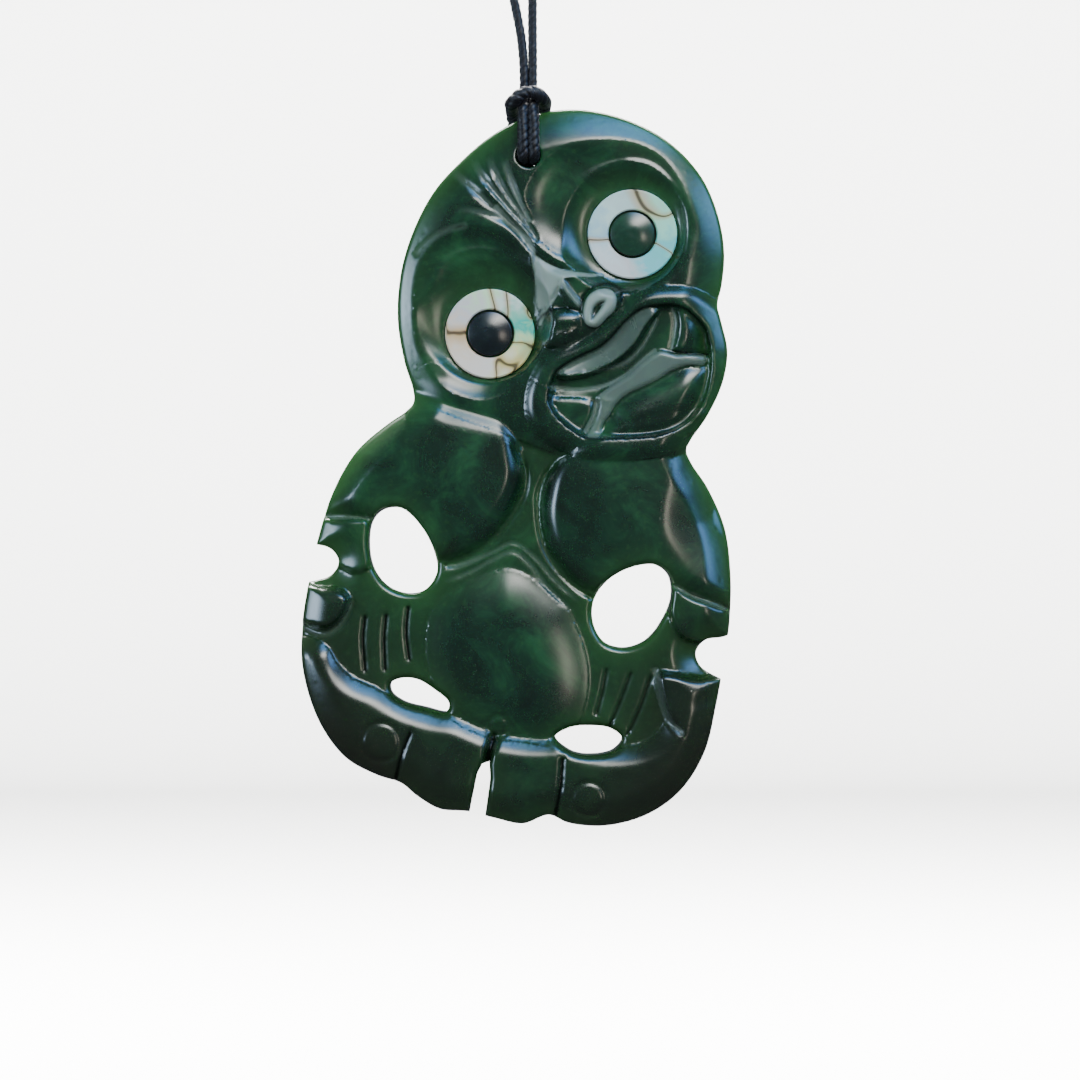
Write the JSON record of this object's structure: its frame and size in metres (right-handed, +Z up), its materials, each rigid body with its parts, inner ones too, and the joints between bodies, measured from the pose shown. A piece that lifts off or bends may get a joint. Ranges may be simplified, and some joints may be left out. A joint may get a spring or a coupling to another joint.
{
  "type": "greenstone hei tiki pendant",
  "caption": "Carved greenstone hei tiki with a tilted head, shell-ringed eyes and pierced arms and legs, hung by a lark's head hitch on a closed loop of black waxed cord.",
  "frame": {"origin": "the inside of the neck loop at its top, where the cord lies on the back of a neck", "axes": "+X to the right as the pendant is seen from the front, +Y away from the viewer towards the wearer's chest, +Z up along the hanging loop"},
  "size_m": [0.083, 0.0089, 0.3852],
  "materials": {
    "greenstone": "polished nephrite, deep bottle green with darker clouds and matte cut recesses",
    "paua_shell": "polished iridescent shell, cream to silver green with turquoise patches and thin dark growth lines",
    "waxed_cord": "twisted waxed cord, black with a dull bluish sheen"
  },
  "bodies": {
    "root": {"greenstone_figure": "greenstone", "left_eye_ring": "paua_shell", "right_eye_ring": "paua_shell", "cord_hitch": "waxed_cord", "neck_cord": "waxed_cord", "closing_knot": "waxed_cord"}
  },
  "joints": []
}
